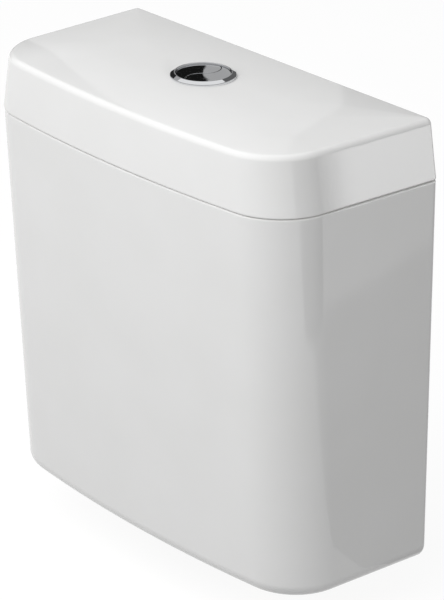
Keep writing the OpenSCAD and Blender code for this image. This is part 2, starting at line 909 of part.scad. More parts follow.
// Ring that holds the seal up against the riser's foot
module seal_retainer() {
    color(blue_plastic)
        ring(outlet_r - retainer_in, riser_r + held_gap, riser_low_z, seat_z);
}

// Foam float that holds the riser up while the tank empties
module flush_float() {
    soft_r = 3;
    in_r = riser_r + held_gap;
    color(white_plastic)
        rotate_extrude() {
            translate([in_r, float_seat_z])
                square([flush_float_r - soft_r - in_r, flush_float_h]);
            translate([in_r, float_seat_z + soft_r])
                square([flush_float_r - in_r, flush_float_h - 2 * soft_r]);
            for (z = [float_seat_z + soft_r, float_seat_z + flush_float_h - soft_r])
                translate([flush_float_r - soft_r, z])
                    circle(soft_r);
        }
}

// One lifting strap, on the right: a ring round the riser, an arm, and a strip with a hook over a lever's nose
module lift_strap(low_z, in_r) {
    ring_r = riser_r + strap_t;
    arm_h = 6;
    difference() {
        union() {
            ring(ring_r, in_r, low_z, low_z + strap_h);
            translate([0, rod_y - strip_w / 2, 0]) {
                translate([riser_r, 0, low_z])
                    cube([strip_x + strip_t - riser_r, strip_w, arm_h]);
                translate([strip_x, 0, low_z])
                    cube([strip_t, strip_w, hook_z + hook_t - low_z]);
                translate([strip_x + strip_t - hook_reach, 0, hook_z])
                    cube([hook_reach, strip_w, hook_t]);
            }
        }
        disc(in_r, low_z - over, low_z + strap_h + over);
    }
}

// Strap of the full flush, clamped on the riser above its collar
module full_lift_strap() {
    color(blue_plastic)
        lift_strap(strap_seat_z, riser_r + held_gap);
}

// Strap of the half flush, loose on the riser and lifting it by its collar from below
module half_lift_strap() {
    color(white_plastic)
        rotate(180)
            lift_strap(strap_seat_z - collar_t - rest_gap - strap_h, riser_r + rest_gap);
}

// Fill valve stem: threaded inlet, flange, float stop and the tube up to the head
module fill_stem() {
    color(white_plastic)
        at_inlet()
            difference() {
                union() {
                    disc(inlet_r, -inlet_l, -stem_nut_t);
                    disc(inlet_r - thread_relief, -stem_nut_t - over, stem_flange_z + over);
                    disc(stem_flange_r, stem_flange_z, stem_flange_z + stem_flange_t);
                    disc(stem_r, stem_flange_z, stem_z);
                    disc(stem_r + stop_w, float_z - rest_gap - stop_t, float_z - rest_gap);
                }
                disc(inlet_bore_r, -inlet_l - over, stem_z + over);
            }
}

// Rubber washer under the stem's flange
module stem_washer() {
    color(black_rubber)
        at_inlet()
            ring(stem_flange_r, inlet_r - thread_relief + held_gap, floor_t, stem_flange_z);
}

// Winged nut on the inlet under the tank
module stem_backnut() {
    wing_l = 9;
    wing_w = 5;
    wings = 4;
    color(white_plastic)
        at_inlet()
            difference() {
                union() {
                    ring(stem_nut_r, inlet_r - thread_relief + held_gap, -stem_nut_t, 0);
                    for (k = [0 : wings - 1])
                        rotate(360 * (k + 0.5) / wings)
                            translate([stem_nut_r - over, -wing_w / 2, -stem_nut_t])
                                cube([wing_l + over, wing_w, stem_nut_t]);
                }
                disc(inlet_r - thread_relief + held_gap, -stem_nut_t - over, over);
            }
}

// Strainer in the inlet's bore: a slotted cup with its closed end up
module inlet_filter() {
    filter_t = 0.9;
    slots = 6;
    slot_w = 1.6;
    slot_z = 4;
    end_t = 1.5;
    color(blue_plastic)
        at_inlet()
            translate([0, 0, -inlet_l])
                difference() {
                    disc(filter_r, 0, filter_l);
                    disc(filter_r - filter_t, -over, filter_l - end_t);
                    for (k = [0 : slots - 1])
                        rotate(360 * k / slots)
                            translate([0, -slot_w / 2, slot_z])
                                cube([filter_r + over, slot_w, filter_l - slot_z - 2 * end_t]);
                }
}

// Valve head on the stem, with the diaphragm's seat and the ears for the float arm
module fill_head() {
    root = 4;
    color(white_plastic)
        at_inlet()
            difference() {
                union() {
                    disc(head_r, stem_z, head_z);
                    for (y = [-arm_w / 2 - rest_gap - arm_ear_t, arm_w / 2 + rest_gap])
                        translate([0, y + arm_ear_t, arm_pin_z])
                            rotate([90, 0, 0]) {
                                translate([head_r - root, -arm_ear_r, 0])
                                    cube([arm_pin_x - head_r + root, 2 * arm_ear_r, arm_ear_t]);
                                translate([arm_pin_x, 0, 0])
                                    cylinder(r = arm_ear_r, h = arm_ear_t);
                            }
                }
                translate([arm_pin_x, arm_w, arm_pin_z])
                    rotate([90, 0, 0])
                        cylinder(r = arm_pin_r, h = 2 * arm_w);
                disc(diaphragm_r + held_gap, head_z - diaphragm_seat, head_z + over);
                disc(inlet_bore_r, stem_z - over, head_z + over);
            }
}

// Rubber diaphragm in the head's seat
module fill_diaphragm() {
    color(red_rubber)
        at_inlet()
            disc(diaphragm_r, head_z - diaphragm_seat, head_z - diaphragm_seat + diaphragm_t);
}

// Cap that closes the head, with grip ribs round its edge
module fill_cap() {
    ribs = 18;
    rib_r = 1.2;
    side_h = cap_h - cap_bevel;
    color(blue_plastic)
        at_inlet() {
            disc(cap_r, head_z, head_z + side_h);
            translate([0, 0, head_z + side_h])
                cylinder(r1 = cap_r, r2 = cap_r - cap_bevel, h = cap_bevel);
            for (k = [0 : ribs - 1])
                rotate(360 * k / ribs)
                    translate([cap_r, 0, head_z])
                        cylinder(r = rib_r, h = side_h);
        }
}

// Float arm: a hub on the pin, and a fork whose round nose sits between the link's collars
module float_arm() {
    slot_l = 8.4;
    color(grey_plastic)
        at_inlet()
            translate([arm_pin_x, 0, arm_pin_z])
                rotate([0, -arm_rest, 0])
                    difference() {
                        translate([0, arm_w / 2, 0])
                            rotate([90, 0, 0])
                                difference() {
                                    link(arm_hub_r, arm_nose_r, arm_l, arm_w, arm_web_in);
                                    disc(arm_pin_r + pin_gap, -over, arm_w + over);
                                }
                        translate([arm_l - slot_l, -link_slot_r, -2 * arm_nose_r])
                            cube([slot_l + arm_nose_r + over, 2 * link_slot_r, 4 * arm_nose_r]);
                    }
}

// Pin of the float arm, held in the head's ears
module arm_pin() {
    half_l = arm_w / 2 + rest_gap + arm_ear_t;
    color(steel)
        at_inlet()
            translate([arm_pin_x, -half_l, arm_pin_z])
                rotate([-90, 0, 0])
                    cylinder(r = arm_pin_r, h = 2 * half_l);
}

// Float: an inverted cup round the stem, with a lug for the link
module fill_float() {
    in_r = stem_r + rest_gap;
    lug_w = 9;
    color(grey_plastic)
        at_inlet()
            difference() {
                union() {
                    disc(float_r, float_z, float_z + float_h);
                    translate([0, -lug_w / 2, float_z])
                        cube([link_x, lug_w, link_lug_t]);
                    translate([link_x, 0, float_z])
                        cylinder(d = lug_w, h = link_lug_t);
                }
                disc(in_r, float_z - over, float_z + float_h + over);
                ring(float_r - float_t, in_r + float_t, float_z + link_lug_t, float_z + float_h - float_t);
                difference() {
                    ring(float_r - float_t, in_r + float_t, float_z - over, float_z + link_lug_t + over);
                    translate([0, -lug_w / 2, float_z - 2 * over])
                        cube([float_r, lug_w, link_lug_t + 4 * over]);
                }
                translate([link_x, 0, float_z - over])
                    cylinder(r = link_r, h = link_lug_t + 2 * over);
            }
}

// Link: an adjusting rod from the float's lug, with a collar each side of the arm's nose
module float_link() {
    top_z = link_mid_z + arm_nose_r + nose_gap + link_collar_t + link_end_l;
    color(steel)
        at_inlet()
            translate([link_x, 0, 0]) {
                disc(link_r, float_z, top_z);
                disc(link_collar_r, float_z + link_lug_t, float_z + link_lug_t + link_collar_t);
                disc(link_collar_r, link_mid_z - arm_nose_r - nose_gap - link_collar_t,
                    link_mid_z - arm_nose_r - nose_gap);
                disc(link_collar_r, link_mid_z + arm_nose_r + nose_gap,
                    link_mid_z + arm_nose_r + nose_gap + link_collar_t);
            }
}

// Two fixing bolts with hexagon heads inside the tank and threads below the nuts
module fixing_bolts() {
    head_z0 = floor_t + cone_washer_t;
    nut_z = -steel_washer_t - bolt_nut_t;
    color(zinc)
        at_bolts() {
            disc(bolt_r, -bolt_l, nut_z);
            disc(shank_r, nut_z - over, head_z0 + over);
            translate([0, 0, head_z0])
                cylinder(r = bolt_head_r, h = bolt_head_t, $fn = 6);
        }
}

// Rubber washers under the bolts' heads, coned where they enter the holes
module bolt_cone_washers() {
    color(black_rubber)
        at_bolts()
            rotate_extrude()
                polygon([
                    [shank_r + held_gap, floor_t - cone_l],
                    [bolt_hole_r - held_gap - cone_taper, floor_t - cone_l],
                    [bolt_hole_r - held_gap, floor_t],
                    [cone_washer_r, floor_t],
                    [cone_washer_r, floor_t + cone_washer_t],
                    [shank_r + held_gap, floor_t + cone_washer_t]
                ]);
}

// Steel washers under the tank
module bolt_steel_washers() {
    color(zinc)
        at_bolts()
            ring(steel_washer_r, shank_r + held_gap, -steel_washer_t, 0);
}

// Hexagon nuts that hold the bolts to the tank
module bolt_nuts() {
    color(zinc)
        at_bolts()
            difference() {
                translate([0, 0, -steel_washer_t - bolt_nut_t])
                    cylinder(r = bolt_nut_r, h = bolt_nut_t, $fn = 6);
                disc(shank_r + held_gap, -steel_washer_t - bolt_nut_t - over, -steel_washer_t + over);
            }
}

tank();
lid();
button_bezel();
bezel_nut();
button_guide();
full_flush_button();
half_flush_button();
full_push_rod();
half_push_rod();
full_button_spring();
half_button_spring();
valve_base();
base_seal();
valve_backnut();
pan_doughnut();
valve_housing();
lever_pin();
full_lever();
half_lever();
overflow_riser();
flush_seal();
seal_retainer();
flush_float();
full_lift_strap();
half_lift_strap();
fill_stem();
stem_washer();
stem_backnut();
inlet_filter();
fill_head();
fill_diaphragm();
fill_cap();
float_arm();
arm_pin();
fill_float();
float_link();
fixing_bolts();
bolt_cone_washers();
bolt_steel_washers();
bolt_nuts();
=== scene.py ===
import json
import math

import bmesh
import bpy
from mathutils import Matrix, Vector


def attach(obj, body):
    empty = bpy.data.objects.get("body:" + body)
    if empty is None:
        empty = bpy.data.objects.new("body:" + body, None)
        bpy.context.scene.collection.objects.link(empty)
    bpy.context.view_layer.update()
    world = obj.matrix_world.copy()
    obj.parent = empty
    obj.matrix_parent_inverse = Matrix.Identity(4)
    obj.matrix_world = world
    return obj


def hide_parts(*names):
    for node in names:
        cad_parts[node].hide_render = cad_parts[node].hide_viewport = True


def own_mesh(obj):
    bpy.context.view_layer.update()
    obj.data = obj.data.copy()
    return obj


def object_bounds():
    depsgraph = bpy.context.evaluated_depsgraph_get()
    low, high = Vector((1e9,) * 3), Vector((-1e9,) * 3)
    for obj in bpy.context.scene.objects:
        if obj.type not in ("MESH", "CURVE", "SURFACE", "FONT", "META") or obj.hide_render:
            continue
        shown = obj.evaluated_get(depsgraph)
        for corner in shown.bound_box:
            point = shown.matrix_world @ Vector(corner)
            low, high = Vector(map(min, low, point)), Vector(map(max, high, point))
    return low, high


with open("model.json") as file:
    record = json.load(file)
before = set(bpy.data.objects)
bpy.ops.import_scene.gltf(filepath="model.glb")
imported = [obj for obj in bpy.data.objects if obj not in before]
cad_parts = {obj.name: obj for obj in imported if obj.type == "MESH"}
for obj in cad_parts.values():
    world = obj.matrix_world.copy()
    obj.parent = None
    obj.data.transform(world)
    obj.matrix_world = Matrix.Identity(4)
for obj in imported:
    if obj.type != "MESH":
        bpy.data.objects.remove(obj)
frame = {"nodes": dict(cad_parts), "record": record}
cad_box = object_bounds()
body_of_node = {
    node: body
    for body, members in frame["record"]["behaviour"]["bodies"].items()
    for node in members
}
MM = 0.001

# Clearances
REST_GAP = 0.3
HELD_GAP = 0.1

# Sizes of the ceramics
BODY_W = 385
BODY_D = 178
TANK_H = 339
WALL = 9.5
FLOOR_T = 13
FRONT_BOW = 14
FRONT_R = 52
REAR_R = 6
LEAST_R = 1.2
SIDE_IN = 7
FRONT_LEAN = 19.5
BASE_R = 13
RIM_R = 1.6
COVE_R = 14
REAR_Y = 82
FRONT_Y = REAR_Y - BODY_D
BOW_R = ((BODY_W / 2) ** 2 + FRONT_BOW**2) / (2 * FRONT_BOW)
SIDE_LEAN = math.atan(SIDE_IN / BODY_D)
LID_H = 54
LID_T = 10
LID_END_DRAFT = 9.25
LID_FRONT_DRAFT = 2
LID_EDGE_R = 5
LID_CROWN = 4
CROWN_W = 70
LID_PROUD = 0.5
RIB_DROP = 9
RIB_T = 6
RIB_GAP = 2.5
RIB_IN = WALL + RIB_GAP + RIB_T
CEILING_R = 12
SHELF_H = 10
SKIRT_Z = TANK_H + REST_GAP
SHELF_Z = SKIRT_Z + SHELF_H
LID_Z = TANK_H + LID_H
UNDER_Z = LID_Z - LID_T

# Holes in the tank
OUTLET_HOLE_R = 32
INLET_HOLE_R = 12
BOLT_HOLE_R = 5.5
WALL_HOLE_R = 4
WALL_HOLE_X = 100
WALL_HOLE_Z = 297

# Sizes of the push button
HOLE_R = 24.8
BEZEL_R = 27.2
BEZEL_H = 3.6
RIM_H = 1.9
BEZEL_EDGE_R = 0.8
BORE_R = 22.8
SLEEVE_R = 24.4
SLEEVE_L = 25.5
SLEEVE_Z = LID_Z - SLEEVE_L
LIP = 1.5
BUTTON_R = 22.5
BUTTON_T = 2.4
BUTTON_SINK = 1.4
BUTTON_EDGE_R = 0.12
PLATE_Z = LID_Z + BEZEL_H - BUTTON_SINK - BUTTON_T
SPLIT = 0.7
SPLIT_TURN = math.radians(15.3)
SPLIT_RISE = 7
SPLIT_CHORD = 23.6
SPLIT_R = ((SPLIT_CHORD / 2) ** 2 + SPLIT_RISE**2) / (2 * SPLIT_RISE)
ROD_X = 14
ROD_Y = 5
ROD_TOP_Z = 368.7
POST_R = 4
POST_BORE_R = 2.6
POST_HEAD_R = 7.2
POST_HEAD_H = 3
POST_SINK = 0.2
GUIDE_TOP_Z = 372
SPRING_R = 6.2
SPRING_TURNS = 6
SPRING_TOP_Z = PLATE_Z - POST_HEAD_H
WIRE_R = 0.5

# Sizes of the flush valve's base, with its nut and doughnut
TAIL_R = 29.8
TAIL_L = 29
TAIL_CHAMFER = 0.6
TAIL_THREAD = 1.0
TAIL_PITCH = 3.2
TAIL_PLAIN = 5
OUTLET_R = 25.5
FLANGE_Z = 17
FLANGE_TOP_Z = 21.5
FLANGE_R = 48
FLANGE_EDGE_H = 4
FLANGE_EDGE_T = 2.2
SEAT_Z = 30.5
SEAT_IN = 0.8
SEAT_OUT = 3.4
BACKNUT_R = 37.8
BACKNUT_T = 9
DOUGHNUT_R = 43.5
DOUGHNUT_H = 20

# Sizes of the fill valve's stem
INLET_X = -138
INLET_R = 10.45
INLET_L = 44
INLET_BORE_R = 5
INLET_CHAMFER = 0.8
INLET_TIP = 0.4
INLET_THREAD = 0.8
INLET_PITCH = 1.814
STEM_NUT_T = 9
STEM_FLANGE_R = 17
STEM_FLANGE_Z = 16
STEM_FLANGE_TOP_Z = 20
STEM_R = 11
STEM_Z = 228
STOP_R = 13.5
STOP_H = 3.5
STOP_Z = 173.7

# Sizes of the fixings
BOLT_X = 75
BOLT_R = 4
BOLT_L = 45
BOLT_TIP_H = 0.3
BOLT_TIP_IN = 0.45
BOLT_THREAD = 0.65
BOLT_PITCH = 1.25
BOLT_HEX_R = 7.5
HEAD_Z = 18
HEAD_H = 5.5
NUT_Z = -8.1
NUT_TOP_Z = -1.6
NUT_BITE = 0.1

# Plain neck above a thread: how far it lies inside the crest, and where the cone up to it starts and ends
NECK_IN = 0.2
STEM_NECK = (0.5, 1.2)
BOLT_NECK = (0.4, 1)

# Chamfer of a hexagon's corners: its slope, and how far it reaches inside the flats
CHAMFER_TURN = math.radians(35)
CHAMFER_SHARE = 0.985
CHAMFER_STEPS = 6

# Radius that closes a turned part at its axis, and how far a cutter passes the faces that it cuts
AXIS_R = 0.01
OVER = 1


def add(name, data):
    obj = bpy.data.objects.new(name, data)
    bpy.context.scene.collection.objects.link(obj)
    return obj


def build(name, points, faces):
    mesh = bpy.data.meshes.new(name)
    mesh.from_pydata([[c * MM for c in p] for p in points], [], faces)
    work = bmesh.new()
    work.from_mesh(mesh)
    bmesh.ops.recalc_face_normals(work, faces=work.faces)
    work.to_mesh(mesh)
    work.free()
    return add(name, mesh)


# Skin through rings of equal count, either capped at both ends or closed from the last ring to the first
def loft(name, rings, closed=False):
    count = len(rings[0])
    points = [p for ring in rings for p in ring]
    faces = []
    last = len(rings) if closed else len(rings) - 1
    for k in range(last):
        low = k * count
        high = (k + 1) % len(rings) * count
        for i in range(count):
            j = (i + 1) % count
            faces.append((low + i, low + j, high + j, high + i))
    if not closed:
        faces.append(tuple(range(count)))
        faces.append(tuple(range(len(points) - count, len(points))))
    return build(name, points, faces)


# Turned part from rows of radius and height, where a radius may also be a function of the angle
def turned(name, rows, at=(0, 0), segments=96, closed=True):
    rings = []
    for radius, z in rows:
        ring = []
        for i in range(segments):
            a = 2 * math.pi * i / segments
            r = radius(a) if callable(radius) else radius
            ring.append((at[0] + r * math.cos(a), at[1] + r * math.sin(a), z))
        rings.append(ring)
    return loft(name, rings, closed)


# Profile with rounded corners, from corners of radius, height and rounding
def rounded(corners, count=5):
    rows = []
    for k, (x, z, r) in enumerate(corners):
        here = Vector((x, z))
        before = Vector(corners[k - 1][:2]) - here
        after = Vector(corners[(k + 1) % len(corners)][:2]) - here
        if r <= 0:
            rows.append((x, z))
            continue
        before.normalize()
        after.normalize()
        half = before.angle(after) / 2
        middle = here + (before + after).normalized() * (r / math.sin(half))
        start = here + before * (r / math.tan(half)) - middle
        end = here + after * (r / math.tan(half)) - middle
        for i in range(count + 1):
            t = i / count
            p = middle + (start * (1 - t) + end * t).normalized() * r
            rows.append((p.x, p.y))
    return rows


# Rows of inset and height along a quarter round that replaces the sharp corner at the given inset and height.
# It leaves the corner by run and rise, and starts on the corner's level side or on its upright side.
def quarter_round(inset, z, run, rise, count, level):
    rows = []
    for k in range(count + 1):
        a = math.pi / 2 * k / count
        first = 1 - math.sin(a)
        second = 1 - math.cos(a)
        if level:
            rows.append((inset + run * first, z + rise * second))
        else:
            rows.append((inset + run * second, z + rise * first))
    return rows


# Rows of a screw thread that runs out at both ends
def thread_rows(r, depth, pitch, z0, z1, steps=8):
    rows = []
    count = max(2, round(steps * (z1 - z0) / pitch))
    for k in range(count + 1):
        z = z0 + (z1 - z0) * k / count
        fade = min(1, (z - z0) / pitch, (z1 - z) / pitch)

        def radius(a, z=z, fade=fade):
            t = (z / pitch - a / (2 * math.pi)) % 1
            return r - depth * (1 - fade) - depth * fade * abs(2 * t - 1)

        rows.append((radius, z))
    return rows


# Rows of a thread, the cone above it and a plain neck up to a height
def shank_rows(r, depth, pitch, z0, z1, neck, top_z):
    cone_z, neck_z = neck
    rows = thread_rows(r, depth, pitch, z0, z1)
    return rows + [(r - depth, z1 + cone_z), (r - NECK_IN, z1 + neck_z), (r - NECK_IN, top_z)]


# Rows of a hexagon with its corners chamfered at the ends that are named
def hexagon_rows(r, z0, z1, low=True, high=True):
    flat = r * math.cos(math.pi / 6)
    inner = flat * CHAMFER_SHARE
    depth = (r - flat) * math.tan(CHAMFER_TURN)

    def limited(limit):
        def radius(a):
            off = (a + math.pi / 6) % (math.pi / 3) - math.pi / 6
            side = math.pi / 6 - abs(off)
            return min(flat / math.cos(side), limit)

        return radius

    steps = [k / CHAMFER_STEPS for k in range(CHAMFER_STEPS + 1)]
    foot = [(limited(r), z0)]
    head = [(limited(r), z1)]
    if low:
        foot = [(limited(inner + (r - inner) * t), z0 + depth * t) for t in steps]
    if high:
        head = [(limited(r - (r - inner) * t), z1 - depth * (1 - t)) for t in steps]
    return foot + head


def join(name, parts):
    work = bmesh.new()
    for part in parts:
        work.from_mesh(part.data)
        bpy.data.objects.remove(part)
    mesh = bpy.data.meshes.new(name)
    work.to_mesh(mesh)
    work.free()
    return add(name, mesh)


def cut(obj, cutters):
    for cutter in cutters:
        step = obj.modifiers.new("cut", "BOOLEAN")
        step.operation = "DIFFERENCE"
        step.solver = "EXACT"
        step.object = cutter
    bpy.context.view_layer.update()
    graph = bpy.context.evaluated_depsgraph_get()
    mesh = bpy.data.meshes.new_from_object(obj.evaluated_get(graph))
    obj.modifiers.clear()
    obj.data = mesh
    for cutter in cutters:
        bpy.data.objects.remove(cutter)


def smooth(obj, degrees=35):
    obj.data.shade_smooth()
    obj.data.set_sharp_from_angle(angle=math.radians(degrees))


def place(obj, node, slot, *materials):
    for material in materials:
        obj.data.materials.append(material)
    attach(obj, body_of_node[node])
    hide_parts(node)


# Materials

# Range that holds nearly all values of a noise
NOISE_LOW = 0.3
NOISE_HIGH = 0.7


# A material with one shader, and the textures that feed it
class Nodes:
    def __init__(self, name):
        self.material = bpy.data.materials.new(name)
        self.material.use_nodes = True
        self.tree = self.material.node_tree
        self.shader = self.tree.nodes["Principled BSDF"]
        self.where = self.tree.nodes.new("ShaderNodeTexCoord").outputs["Object"]

    def link(self, source, target):
        self.tree.links.new(source, target)

    def stretched(self, scale):
        mapping = self.tree.nodes.new("ShaderNodeMapping")
        mapping.inputs["Scale"].default_value = scale
        self.link(self.where, mapping.inputs["Vector"])
        return mapping.outputs["Vector"]

    def noise(self, scale, detail=3, stretch=None):
        noise = self.tree.nodes.new("ShaderNodeTexNoise")
        noise.inputs["Scale"].default_value = scale
        noise.inputs["Detail"].default_value = detail
        self.link(self.stretched(stretch) if stretch else self.where, noise.inputs["Vector"])
        return noise.outputs["Fac"]

    def cells(self, scale):
        cells = self.tree.nodes.new("ShaderNodeTexVoronoi")
        cells.inputs["Scale"].default_value = scale
        self.link(self.where, cells.inputs["Vector"])
        return cells.outputs["Distance"]

    def colours(self, value, stops):
        ramp = self.tree.nodes.new("ShaderNodeValToRGB")
        band = ramp.color_ramp
        for element, (position, colour) in zip(band.elements, (stops[0], stops[-1])):
            element.position = position
            element.color = (*colour, 1)
        for position, colour in stops[1:-1]:
            band.elements.new(position).color = (*colour, 1)
        self.link(value, ramp.inputs["Fac"])
        return ramp.outputs["Color"]

    def span(self, value, low, high, start=NOISE_LOW, end=NOISE_HIGH):
        span = self.tree.nodes.new("ShaderNodeMapRange")
        span.inputs["From Min"].default_value = start
        span.inputs["From Max"].default_value = end
        span.inputs["To Min"].default_value = low
        span.inputs["To Max"].default_value = high
        self.link(value, span.inputs["Value"])
        return span.outputs["Result"]

    def bump(self, value, distance, after=None):
        bump = self.tree.nodes.new("ShaderNodeBump")
        bump.inputs["Strength"].default_value = 1
        bump.inputs["Distance"].default_value = distance
        self.link(value, bump.inputs["Height"])
        if after:
            self.link(after, bump.inputs["Normal"])
        return bump.outputs["Normal"]


def china():
    n = Nodes("glazed_china")
    n.link(
        n.colours(n.noise(14), [(0.35, (0.765, 0.765, 0.76)), (0.65, (0.78, 0.78, 0.777))]),
        n.shader.inputs["Base Color"],
    )
    n.link(n.span(n.noise(60), 0.035, 0.06), n.shader.inputs["Roughness"])
    n.shader.inputs["IOR"].default_value = 1.52
    waves = n.bump(n.noise(11, 1), 0.0003)
    n.link(n.bump(n.noise(420, 1), 0.00002, waves), n.shader.inputs["Normal"])
    return n.material


def biscuit():
    n = Nodes("unglazed_china")
    stops = [(0.3, (0.58, 0.55, 0.50)), (0.6, (0.70, 0.68, 0.63)), (0.8, (0.76, 0.74, 0.70))]
    n.link(n.colours(n.noise(900, 5), stops), n.shader.inputs["Base Color"])
    n.shader.inputs["Roughness"].default_value = 0.9
    n.link(n.bump(n.noise(1400, 4), 0.0003), n.shader.inputs["Normal"])
    return n.material


def chrome():
    n = Nodes("polished_chrome")
    n.link(
        n.colours(n.noise(40), [(0.3, (0.80, 0.81, 0.83)), (0.7, (0.84, 0.85, 0.865))]),
        n.shader.inputs["Base Color"],
    )
    n.shader.inputs["Metallic"].default_value = 1
    n.link(n.span(n.noise(300), 0.012, 0.03), n.shader.inputs["Roughness"])
    n.link(n.bump(n.noise(90, 2), 0.000006), n.shader.inputs["Normal"])
    return n.material


def plastic(name, low, high, rough):
    n = Nodes(name)
    n.link(n.colours(n.noise(30), [(0.3, low), (0.7, high)]), n.shader.inputs["Base Color"])
    n.link(n.span(n.noise(250), rough - 0.05, rough + 0.06), n.shader.inputs["Roughness"])
    n.link(n.bump(n.noise(2400, 2), 0.00004), n.shader.inputs["Normal"])
    return n.material


def rubber(name, low, high):
    n = Nodes(name)
    n.link(n.colours(n.noise(120, 5), [(0.3, low), (0.7, high)]), n.shader.inputs["Base Color"])
    n.link(n.span(n.noise(500), 0.62, 0.8), n.shader.inputs["Roughness"])
    n.link(n.bump(n.noise(1800, 4), 0.0001), n.shader.inputs["Normal"])
    return n.material


def foam(name, low, high):
    n = Nodes(name)
    pores = n.cells(520)
    # The colour is darker at the middle of each pore, where the bump sinks it: painted shade in the pits
    n.link(n.colours(pores, [(0.1, low), (0.7, high)]), n.shader.inputs["Base Color"])
    n.shader.inputs["Roughness"].default_value = 0.95
    n.link(n.bump(pores, 0.0009), n.shader.inputs["Normal"])
    return n.material


def metal(name, low, high, stretch, rough):
    n = Nodes(name)
    drawn = n.noise(900, 4, stretch)
    n.link(n.colours(n.noise(160, 4), [(0.3, low), (0.7, high)]), n.shader.inputs["Base Color"])
    n.shader.inputs["Metallic"].default_value = 1
    n.link(n.span(drawn, rough - 0.07, rough + 0.09), n.shader.inputs["Roughness"])
    n.link(n.bump(drawn, 0.00005), n.shader.inputs["Normal"])
    return n.material


CHINA = china()
BISCUIT = biscuit()
CHROME = chrome()
WHITE = plastic("white_plastic", (0.72, 0.73, 0.73), (0.80, 0.81, 0.81), 0.38)
GREY = plastic("grey_plastic", (0.32, 0.35, 0.38), (0.37, 0.40, 0.43), 0.45)
BLUE = plastic("blue_plastic", (0.045, 0.16, 0.42), (0.06, 0.20, 0.48), 0.36)
BLACK_RUBBER = rubber("black_rubber", (0.012, 0.012, 0.013), (0.028, 0.028, 0.03))
RED_RUBBER = rubber("red_rubber", (0.28, 0.035, 0.025), (0.36, 0.05, 0.035))
BLACK_FOAM = foam("black_foam", (0.01, 0.01, 0.011), (0.05, 0.05, 0.052))
WHITE_FOAM = foam("white_foam", (0.62, 0.62, 0.60), (0.80, 0.80, 0.78))
STEEL = metal("drawn_steel", (0.50, 0.51, 0.53), (0.62, 0.63, 0.65), (1, 1, 0.05), 0.3)
ZINC = metal("zinc_plate", (0.52, 0.53, 0.52), (0.68, 0.69, 0.67), (1, 1, 1), 0.36)


# Ceramics

# Steps along an outline's parts
REAR_STEPS = 8
CORNER_STEPS = 40
FRONT_STEPS = 36

# Steps along the roundings and walls from foot to top
BASE_STEPS = 12
WALL_STEPS = 14
RIM_STEPS = 5
COVE_STEPS = 8
CEILING_STEPS = 8
RIB_STEPS = 4
SKIRT_STEPS = 6
SIDE_STEPS = 5
EDGE_STEPS = 16
CROWN_STEPS = 24

# Height of the narrow strip beside a rounding that keeps the wall's shading straight
HOLD = 0.5
# Least height of an inner wall's ring above the cove
COVE_CLEAR = 8
# Most that a contour of the crown rounds its corners, and the share of its depth that this may take
CONTOUR_R = 40
CONTOUR_SHARE = 0.3
# Height of the unglazed bands under the tank and the skirt, and how far down a face of the skirt must look
FOOT_BAND = 0.3
SKIRT_BAND = 0.4
DOWNWARD = -0.8


# Plan of the tank or the lid: straight rear, leaning sides, round corners and a bowed front, all set in alike
def outline(half_w, low_y, inset, least_r=LEAST_R):
    along = Vector((-math.sin(SIDE_LEAN), -math.cos(SIDE_LEAN)))
    inward = Vector((-math.cos(SIDE_LEAN), math.sin(SIDE_LEAN)))
    corner_r = max(FRONT_R - inset, least_r)
    back_r = max(REAR_R - inset, least_r)
    bow_c = Vector((0, low_y + BOW_R))
    side = Vector((half_w, REAR_Y))
    start = side + (corner_r + inset) * inward - bow_c
    b = start.dot(along)
    c = start.dot(start) - (BOW_R - corner_r - inset) ** 2
    corner_c = bow_c + start + (math.sqrt(b * b - c) - b) * along
    slide = (back_r + inset) * (1 + math.sin(SIDE_LEAN)) / math.cos(SIDE_LEAN)
    back_c = side + (back_r + inset) * inward + slide * along
    turn = math.atan2(corner_c.y - bow_c.y, corner_c.x - bow_c.x)
    right = []
    for k in range(REAR_STEPS + 1):
        a = math.pi / 2 - (math.pi / 2 + SIDE_LEAN) * k / REAR_STEPS
        right.append(back_c + back_r * Vector((math.cos(a), math.sin(a))))
    for k in range(CORNER_STEPS + 1):
        a = -SIDE_LEAN + (turn + SIDE_LEAN) * k / CORNER_STEPS
        right.append(corner_c + corner_r * Vector((math.cos(a), math.sin(a))))
    for k in range(1, FRONT_STEPS):
        a = turn + (-math.pi / 2 - turn) * k / FRONT_STEPS
        right.append(bow_c + (BOW_R - inset) * Vector((math.cos(a), math.sin(a))))
    left = [(-p.x, p.y) for p in reversed(right)]
    return [(p.x, p.y) for p in right] + [(0, low_y + inset)] + left


def tank_ring(inset, z):
    low_y = FRONT_Y + LID_PROUD + FRONT_LEAN * (1 - z / TANK_H)
    return [(x, y, z) for x, y in outline(BODY_W / 2 - LID_PROUD, low_y, inset)]


def lid_ring(inset, z, least_r=LEAST_R):
    k = (z - SKIRT_Z) / LID_H
    half_w = BODY_W / 2 - LID_END_DRAFT * k
    low_y = FRONT_Y + LID_FRONT_DRAFT * k
    return [(x, y, z) for x, y in outline(half_w, low_y, inset, least_r)]


def bore(name, r, z0, z1, at=(0, 0)):
    return turned(name, [(r, z0), (r, z1)], at, closed=False)


def wall_bore(side):
    hole = bore("wall_hole", WALL_HOLE_R, -WALL - OVER, OVER)
    at = Vector((side * WALL_HOLE_X, REAR_Y, WALL_HOLE_Z)) * MM
    hole.data.transform(Matrix.Translation(at) @ Matrix.Rotation(-math.pi / 2, 4, "X"))
    return hole


# Glaze all over, apart from the faces that are left bare
def glaze(obj, is_bare):
    obj.data.materials.append(CHINA)
    obj.data.materials.append(BISCUIT)
    for face in obj.data.polygons:
        face.material_index = int(is_bare(face))
    smooth(obj)


